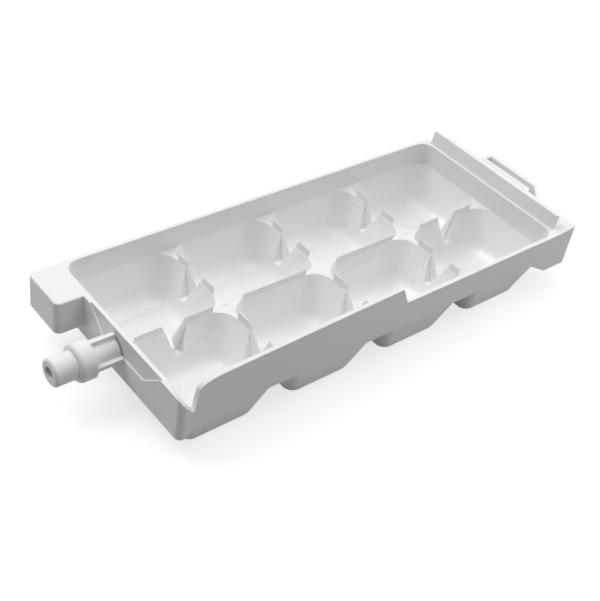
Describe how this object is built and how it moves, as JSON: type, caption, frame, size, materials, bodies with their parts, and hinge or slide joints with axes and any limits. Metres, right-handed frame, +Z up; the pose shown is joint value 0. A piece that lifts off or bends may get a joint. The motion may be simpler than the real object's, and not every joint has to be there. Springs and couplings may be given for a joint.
{
  "type": "twist ice cube tray",
  "caption": "Moulded white twist ice tray with two rows of deep cups, water notches, a raised side wall, a drive spigot and a pull handle.",
  "frame": {"origin": "at the rim plane, on the outer face of the spigot end wall, in the middle of the tray's width, above the drive axis", "axes": "+X along the tray from the drive spigot to the pull handle, +Y towards the far side wall, which stays low, +Z up out of the cups"},
  "size_m": [0.2866, 0.1, 0.0455],
  "materials": {
    "white_plastic": "semi-gloss white injection-moulded plastic"
  },
  "bodies": {
    "row_1": {"cup_front_1": "white_plastic", "cup_back_1": "white_plastic", "side_wall_front_1": "white_plastic", "side_wall_back_1": "white_plastic", "end_wall_left": "white_plastic", "stop_block": "white_plastic", "pivot_spigot": "white_plastic"},
    "row_2": {"cup_front_2": "white_plastic", "cup_back_2": "white_plastic", "side_wall_front_2": "white_plastic", "side_wall_back_2": "white_plastic"},
    "row_3": {"cup_front_3": "white_plastic", "cup_back_3": "white_plastic", "side_wall_front_3": "white_plastic", "side_wall_back_3": "white_plastic"},
    "row_4": {"cup_front_4": "white_plastic", "cup_back_4": "white_plastic", "side_wall_front_4": "white_plastic", "side_wall_back_4": "white_plastic", "end_wall_right": "white_plastic", "splash_guard": "white_plastic", "end_shelf": "white_plastic", "pull_handle": "white_plastic"}
  },
  "joints": [
    {"name": "twist_1", "type": "hinge", "parent": "row_1", "child": "row_2", "pos_m": [0.0591, 0, -0.0104], "axis": [1, 0, 0], "range_deg": [-7, 7], "stiffness_Nm_per_rad": 6},
    {"name": "twist_2", "type": "hinge", "parent": "row_2", "child": "row_3", "pos_m": [0.1156, 0, -0.0104], "axis": [1, 0, 0], "range_deg": [-7, 7], "stiffness_Nm_per_rad": 6},
    {"name": "twist_3", "type": "hinge", "parent": "row_3", "child": "row_4", "pos_m": [0.1721, 0, -0.0104], "axis": [1, 0, 0], "range_deg": [-7, 7], "stiffness_Nm_per_rad": 6}
  ],
  "couplings": [
    {"joint": "twist_2", "follows": "twist_1", "ratio": 1},
    {"joint": "twist_3", "follows": "twist_1", "ratio": 1}
  ]
}
